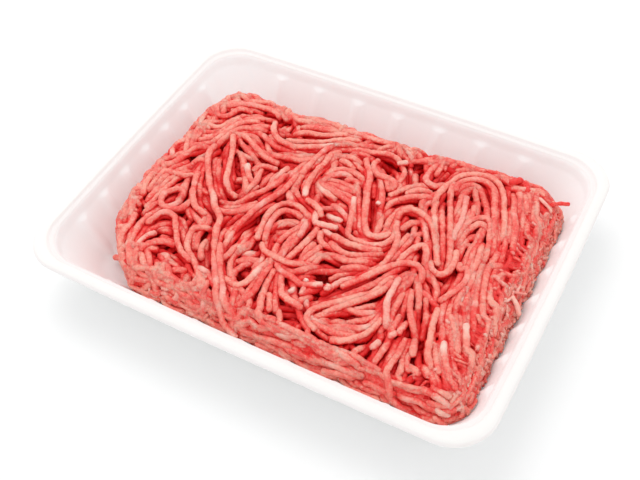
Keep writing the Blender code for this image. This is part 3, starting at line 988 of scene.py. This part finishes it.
def lay_crumbs(layer, count, low, high, ceiling, longest=5.0, tries=6):
    """Short bits at all angles."""
    chance = layer.chance
    for _ in range(count):
        start = lowest_place(chance, low, high, tries)
        radius = chance.uniform(0.45, 1.05)
        length = radius * 1.6 + chance.uniform(0.2, 1.0) ** 2 * longest
        flat = meander(chance, start, chance.uniform(0, 6.28), length, 0.1)
        tone = chance.choice(["", "", "", "", "", "cream", "cream", "pale"])
        if past_edge(flat).max() < SIDE_FLAP:
            layer.lay(flat, ceiling + chance.uniform(-0.6, 0.5), tone, radius, 0.9)


def loose_ends(made):
    """Ends that stick out of the slab's sides over the tray."""
    tubes = []
    for seed, (tone, radius, *points) in enumerate(LOOSE_ENDS, 900):
        centre = smooth_route(points, 0.5)
        up = np.tile((0.0, 0.0, 1.0), (len(centre), 1))
        rings, colours, below_top = tube(centre, up, 10, 0.5, radius, 0.95, tone, seed)
        # painted shade: the ends' sides and undersides darker and redder, from how far each point is below the
        # top
        colours[..., 1] = np.maximum(colours[..., 1], np.clip(below_top / DEPTH_RANGE, 0.0, 1.0) * 0.7)
        tubes.append((rings, colours))
    return mesh_from_tubes("loose_ends", tubes, made)


# ---------------------------------------------------------------- core under the strands

def build_core(made):
    """Closed lump under the strands, with a relief of its own."""
    around = np.arange(0, outline_length(), 1.5)
    rings = []
    for share in np.linspace(0.03, 1, 40):
        edge = around_slab(around, np.zeros(len(around)))
        rings.append(SLAB_CENTRE + (edge - SLAB_CENTRE) * share)
    for down in np.linspace(0, SIDE_FLAP + 1.2, 24)[1:]:
        rings.append(around_slab(around, np.full(len(around), down)))
    flat = np.vstack(rings)
    depth = CORE_DEPTH + hollow_depth(flat) - (CORE_DEPTH - SIDE_CORE_DEPTH) * smoothstep(past_edge(flat) / 5)
    surface = slab_points(flat, -depth)
    normals = surface_normals(flat, -depth)
    surface += normals * (waves(surface, 21, 5.0) * 0.6 + waves(surface, 22, 2.4) * 0.4)[:, None]
    surface = kept_in_tray(surface, CORE_CLEARANCE)
    count = len(around)
    shape = bmesh.new()
    points = [shape.verts.new(point * MM) for point in surface]
    for ring in range(len(rings) - 1):
        for index in range(count):
            following = (index + 1) % count
            a, b = ring * count + index, ring * count + following
            shape.faces.new((points[a], points[a + count], points[b + count], points[b]))
    shape.faces.new(points[:count])
    shape.faces.new(points[-count:][::-1])
    bmesh.ops.recalc_face_normals(shape, faces=shape.faces[:])
    mesh = bpy.data.meshes.new("meat_core")
    shape.to_mesh(mesh)
    shape.free()
    tone = np.zeros((len(flat), 4))
    paleness = SIDE_PALENESS * smoothstep(past_edge(flat) / 4)
    # painted shade: the core lies deep under the strands, so its colour takes the dark red of the gaps between
    # them, less on the slab's sides
    tone[:, 1] = np.clip(depth / DEPTH_RANGE, 0.0, 1.0) * (1 - paleness)
    tone[:, 2] = 0.4
    tone[:, 3] = 1.0
    attribute = mesh.color_attributes.new("tone", "FLOAT_COLOR", "POINT")
    attribute.data.foreach_set("color", tone.ravel())
    mesh.shade_smooth()
    return add_piece("meat_core", mesh, made)


# ---------------------------------------------------------------- tray

def tray_quarter(inset, rib_share, count=130):
    """A quarter of the plan, from the middle of the right side to the middle of the back."""
    half_x = TRAY_HALF_X - SIDE_BOW - inset
    half_y = TRAY_HALF_Y - SIDE_BOW - inset
    radius = CORNER_RADIUS - CORNER_TAPER * inset
    straight_y = half_y - radius
    straight_x = half_x - radius
    arc = radius * math.pi / 2
    total = straight_y + arc + straight_x
    distance = np.linspace(0, total, count)
    angle = np.clip((distance - straight_y) / radius, 0, math.pi / 2)
    outward = np.column_stack([np.cos(angle), np.sin(angle)])
    x = np.where(distance <= straight_y, half_x, straight_x + radius * outward[:, 0])
    x = np.where(distance > straight_y + arc, total - distance, x)
    y = np.where(distance <= straight_y, distance, straight_y + radius * outward[:, 1])
    y = np.where(distance > straight_y + arc, half_y, y)
    rib = np.maximum(rib_share_at(distance, SHORT_PITCH), rib_share_at(total - distance, LONG_PITCH))
    bow_x = SIDE_BOW * (x / half_x) * (1 - (y / half_y) ** 2)
    bow_y = SIDE_BOW * (y / half_y) * (1 - (x / half_x) ** 2)
    plan = np.column_stack([x + bow_x, y + bow_y])
    return plan - outward * (rib * rib_share * RIB_HEIGHT)[:, None]


def tray_ring(inset, rib_share):
    quarter = tray_quarter(inset, rib_share)
    half = np.vstack([quarter, quarter[-2::-1] * (-1, 1)])
    return np.vstack([half, half[-2:0:-1] * (1, -1)])


def build_tray(made):
    """Upper face from lip to floor, then the underside back out to the lip."""
    rings = [(tray_ring(inset, share), RIM_HEIGHT - drop) for inset, drop, share in PROFILE]
    below = [(tray_ring(inset, share), RIM_HEIGHT - drop) for inset, drop, share in UNDERSIDE]
    shape = bmesh.new()

    def add_ring(plan, height):
        return [shape.verts.new((x * MM, y * MM, height * MM)) for x, y in plan]

    upper = [add_ring(*ring) for ring in rings]
    lower = [add_ring(*ring) for ring in below]

    def join(outer, inner):
        for index in range(len(outer)):
            following = (index + 1) % len(outer)
            shape.faces.new((outer[index], outer[following], inner[following], inner[index]))

    for loops in (upper, lower):
        for outer, inner in zip(loops, loops[1:]):
            join(outer, inner)
    join(upper[0], lower[0])
    for last in (upper[-1], lower[-1]):
        shape.faces.new(last)
    bmesh.ops.recalc_face_normals(shape, faces=shape.faces[:])
    mesh = bpy.data.meshes.new("foam_tray")
    shape.to_mesh(mesh)
    shape.free()
    mesh.shade_smooth()
    return add_piece("foam_tray", mesh, made)


# ---------------------------------------------------------------- materials

class Shader:
    """A Principled material with short ways to add nodes."""

    def __init__(self, name, **values):
        self.made = bpy.data.materials.new(name)
        self.made.use_nodes = True
        self.nodes = self.made.node_tree.nodes
        self.links = self.made.node_tree.links
        self.surface = self.nodes["Principled BSDF"]
        for key, value in values.items():
            self.surface.inputs[key.replace("_", " ")].default_value = value
        self.place = self.nodes.new("ShaderNodeTexCoord").outputs["Object"]

    def noise(self, scale, detail=2.0, roughness=0.5):
        node = self.nodes.new("ShaderNodeTexNoise")
        node.inputs["Scale"].default_value = scale
        node.inputs["Detail"].default_value = detail
        node.inputs["Roughness"].default_value = roughness
        self.links.new(self.place, node.inputs["Vector"])
        return node.outputs["Fac"]

    def spread(self, value, low, high, to_low=0.0, to_high=1.0):
        node = self.nodes.new("ShaderNodeMapRange")
        node.interpolation_type = "SMOOTHSTEP"
        for number, amount in enumerate((low, high, to_low, to_high), 1):
            node.inputs[number].default_value = amount
        self.links.new(value, node.inputs[0])
        return node.outputs[0]

    def mix(self, share, first, second, blend="MIX"):
        node = self.nodes.new("ShaderNodeMix")
        node.data_type = "RGBA"
        node.blend_type = blend
        self.put(share, node.inputs[0])
        self.put(first, node.inputs[6])
        self.put(second, node.inputs[7])
        return node.outputs[2]

    def maths(self, operation, first, second):
        node = self.nodes.new("ShaderNodeMath")
        node.operation = operation
        self.put(first, node.inputs[0])
        self.put(second, node.inputs[1])
        return node.outputs[0]

    def put(self, value, socket):
        if isinstance(value, bpy.types.NodeSocket):
            self.links.new(value, socket)
        elif isinstance(value, tuple):
            socket.default_value = (*value, 1.0)
        else:
            socket.default_value = value

    def bump(self, height, distance, strength=1.0):
        node = self.nodes.new("ShaderNodeBump")
        node.inputs["Strength"].default_value = strength
        node.inputs["Distance"].default_value = distance
        self.links.new(height, node.inputs["Height"])
        self.links.new(node.outputs["Normal"], self.surface.inputs["Normal"])


def meat_material():
    """Moist pink meat: lean, speckled with fat and with red patches, and with painted shade, darker and redder,
    on the strands' sides and deep between them.
    """
    meat = Shader("minced_meat", Roughness=0.45, IOR=1.36, Subsurface_Weight=0.3,
                  Subsurface_Scale=0.0010)
    meat.surface.inputs["Subsurface Radius"].default_value = (1.0, 0.2, 0.15)
    attribute = meat.nodes.new("ShaderNodeAttribute")
    attribute.attribute_name = "tone"
    parts = meat.nodes.new("ShaderNodeSeparateColor")
    meat.links.new(attribute.outputs["Color"], parts.inputs["Color"])
    fat, depth, chance = parts.outputs[0], parts.outputs[1], parts.outputs[2]
    broad = meat.spread(meat.noise(200, 4, 0.55), 0.32, 0.68, 0.0, 0.6)
    fine = meat.noise(850, 5, 0.7)
    shade = meat.maths("ADD", broad, meat.maths("MULTIPLY", chance, 0.45))
    shade = meat.maths("ADD", shade, meat.spread(fine, 0.35, 0.65, -0.2, 0.2))
    outer = meat.mix(shade, LEAN, LEAN_LIGHT)
    grains = meat.spread(meat.noise(560, 2), 0.61, 0.70)
    grained = meat.mix(meat.maths("MULTIPLY", grains, 0.4), outer, FAT_PINK)
    fatty = meat.mix(fat, grained, FAT)
    # painted shade: the second channel, how deep a point lies below the strands' tops, with noise and the red
    # patches added, turns the colour first to the darker red of the strands' sides, then to the near-black red
    # deep between them
    ragged = meat.maths("ADD", depth, meat.spread(fine, 0.30, 0.70, 0.05, -0.05))
    ragged = meat.maths("ADD", ragged, meat.spread(meat.noise(65, 3), 0.52, 0.72, 0.0, 0.10))
    side = meat.mix(meat.spread(ragged, 0.05, 0.26), fatty, LEAN_RED_AND_SIDE_SHADE)
    colour = meat.mix(meat.spread(ragged, 0.22, 0.46), side, BLOOD_AND_DEEP_SHADE)
    meat.links.new(colour, meat.surface.inputs["Base Color"])
    coarse_height = meat.noise(800, 3, 0.6)
    fine_height = meat.noise(2200, 2)
    height = meat.maths("ADD", coarse_height, meat.maths("MULTIPLY", fine_height, 0.4))
    meat.bump(height, 0.0006)
    return meat.made


def foam_material():
    """White foam: faintly pebbled skin, with light spreading inside it, and painted shade: its rim top darker and
    creamier, and a darker band in the crease and down the lip's side just below it.
    """
    foam = Shader("white_foam", Roughness=0.6, IOR=1.4, Subsurface_Weight=0.5,
                  Subsurface_Scale=0.012)
    foam.surface.inputs["Specular IOR Level"].default_value = 0.25
    foam.surface.inputs["Subsurface Radius"].default_value = (1.0, 1.0, 1.0)
    place = foam.nodes.new("ShaderNodeSeparateXYZ")
    foam.links.new(foam.place, place.inputs[0])
    # painted shade by height: the flat rim top, which takes the most light, is darker and creamier than the
    # walls; a band from about 2.2 to 0.5 mm below the rim, in the crease, on the ledge and on the lip's side, is
    # darker still
    above = foam.maths("SUBTRACT", place.outputs[2], RIM_HEIGHT * MM)
    rim_shade_mask = foam.spread(above, -0.0005, -0.0001)
    ledge_shade_mask = foam.spread(above, -0.0022, -0.0015)
    tint = foam.mix(foam.spread(foam.noise(90, 2), 0.3, 0.7), FOAM_WHITE, FOAM_SHADE)
    tint = foam.mix(ledge_shade_mask, tint, FOAM_LEDGE_SHADE)
    tint = foam.mix(rim_shade_mask, tint, FOAM_RIM_SHADE)
    foam.links.new(tint, foam.surface.inputs["Base Color"])
    foam.bump(foam.noise(520, 3), 0.00006)
    return foam.made


def floor_material():
    floor = Shader("floor", Roughness=0.7)
    floor.surface.inputs["Base Color"].default_value = (*FLOOR_WHITE, 1.0)
    return floor.made


# ---------------------------------------------------------------- building

FRONT_EDGE = -57.0           # where listed routes turn down the front face
FRONT_STRETCH = 1.0
FRONT_LEAN = -0.45

UNDERSIDE = [
    (0.12, 2.1, 0.0), (0.6, 2.55, 0.0), (1.6, 2.65, 0.0), (3.2, 2.7, 0.0), (3.8, 3.1, 0.0),
    (4.5, 3.5, 0.0), (4.9, 4.3, 0.0), (5.1, 5.6, 0.0), (5.4, 6.8, 0.0), (6.1, 8.4, 0.55),
    (7.1, 10.5, 1.0), (9.2, 14.3, 1.0), (12.0, 19.0, 1.0), (14.6, 23.3, 1.0), (15.6, 25.1, 0.85),
    (17.2, 27.2, 0.45), (19.0, 28.3, 0.12), (20.8, 28.6, 0.0), (22.5, 28.6, 0.0),
]

LEAN = (0.88, 0.105, 0.088)
LEAN_LIGHT = (0.95, 0.405, 0.315)
# painted shade on the strands' sides and in shallow gaps, also the colour of red patches and blood strands
LEAN_RED_AND_SIDE_SHADE = (0.88, 0.040, 0.036)
FAT_PINK = (0.97, 0.55, 0.44)
FAT = (0.98, 0.74, 0.63)
# painted shade deep between the strands and on the core, also reached in part by blood strands
BLOOD_AND_DEEP_SHADE = (0.70, 0.004, 0.005)
FOAM_WHITE = (0.978, 0.990, 0.987)
FOAM_SHADE = (0.973, 0.981, 0.976)
# painted shade in the crease under the rim, on the ledge and down the lip's side
FOAM_LEDGE_SHADE = (0.86, 0.80, 0.785)
# painted shade: the rim's flat top toned down, as it takes the most light
FOAM_RIM_SHADE = (0.865, 0.838, 0.81)
FLOOR_WHITE = (0.93, 0.93, 0.93)

RIGHT_SHARE = 0.205          # of the outline: where the right side ends
FRONT_SHARE = 0.705          # and where the front starts

meat = meat_material()
foam = foam_material()

deep = Layer("deep_strands", 1, 7, 1.6)
sides = Layer("side_strands", 2, 9, 1.0)
under = Layer("under_strands", 3, 8, 1.2)
top = Layer("top_strands", 4, 11, 0.7)
crumbs = Layer("crumbs", 5, 6, 0.65)
grain = Grain(LOWER + UPPER + CROSSING)

lay_fillers(deep, 90, -6.2, 6.0)
lay_sides(deep, np.arange(SIDE_FLAP, 2.0, -2.9), -4.2)
lay_fillers(under, 60, -4.6, 4.0)
lay_with_grain(under, grain, 160, -4.2)
lay_over_edge(under, 60, -3.6, 0.0, 1.0)
lay_sides(sides, np.arange(SIDE_FLAP, 6.5, -2.4), -1.5, 26.0, 0.75)
lay_sides(sides, np.arange(SIDE_FLAP - 1.0, 3.0, -2.0), -1.3, 22.0, 0.75, FRONT_SHARE, 1.0)
lay_sides(sides, np.arange(6.5, 1.0, -2.4), -1.6, 20.0, 0.8, 0.0, RIGHT_SHARE)
lay_sides(sides, np.arange(6.5, 1.0, -2.4), -1.6, 20.0, 0.8, FRONT_SHARE, 0.94)
lay_over_edge(sides, 170, -1.7, RIGHT_SHARE, FRONT_SHARE)
lay_over_edge(sides, 30, -1.5, FRONT_SHARE, 0.84)
lay_routes(top, LOWER, -2.7)
lay_with_grain(top, grain, 300, -2.4, -3.0)
lay_with_grain(top, grain, 60, -1.9, -2.2, (66, -54), (85, 52))
lay_routes(top, UPPER, -1.2)
lay_routes(top, CROSSING, 0.0)
lay_crumbs(crumbs, 240, (68, -54), (80, 50), -1.5, 6.0)
lay_crumbs(crumbs, 2800, (78, -57), (102, 52), -0.4)
lay_crumbs(crumbs, 130, (-62, -80), (-12, -61), -0.9, 9.0)

lay_bits(crumbs, BITS, -0.1)

pieces = [build_core(meat), loose_ends(meat)]
for layer in (deep, under, sides, top, crumbs):
    pieces += layer.strands.build(meat)
for piece in pieces:
    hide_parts("ground_meat")
    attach(piece, "root")

tray = build_tray(foam)
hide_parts("tray")
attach(tray, "root")


# ---------------------------------------------------------------- floor, light and camera

scene = bpy.context.scene
bpy.ops.mesh.primitive_plane_add(size=6.0, location=(0, 0, -0.0002))
floor = bpy.context.object
floor.name = "floor"
floor.data.materials.append(floor_material())

world = bpy.data.worlds.new("studio")
world.use_nodes = True
world.node_tree.nodes["Background"].inputs["Color"].default_value = (1.0, 1.0, 1.0, 1.0)
world.node_tree.nodes["Background"].inputs["Strength"].default_value = 0.95
scene.world = world


def soft_light(name, place, aim, size, power):
    light = bpy.data.lights.new(name, "AREA")
    light.shape = "SQUARE"
    light.size = size
    light.energy = power
    lamp = bpy.data.objects.new(name, light)
    lamp.location = place
    lamp.rotation_euler = (Vector(aim) - Vector(place)).to_track_quat("-Z", "Y").to_euler()
    scene.collection.objects.link(lamp)


soft_light("overhead", (-0.32, 0.26, 0.95), (0.0, 0.0, 0.0), 0.7, 2.8)

CAMERA_PLACE = Vector((0.13084, -0.22921, 0.31834))
CAMERA_AIM = Vector((0.00651, -0.01686, 0.0286))
CAMERA_ROLL = math.radians(-2.53)
camera_data = bpy.data.cameras.new("camera")
camera_data.lens = 53.9
camera_data.sensor_width = 36.0
camera_data.clip_start = 0.01
camera = bpy.data.objects.new("camera", camera_data)
turn = (CAMERA_AIM - CAMERA_PLACE).to_track_quat("-Z", "Y").to_matrix().to_4x4()
camera.matrix_world = Matrix.Translation(CAMERA_PLACE) @ turn @ Matrix.Rotation(CAMERA_ROLL, 4, "Z")
scene.collection.objects.link(camera)
scene.camera = camera
scene.view_settings.view_transform = "Standard"
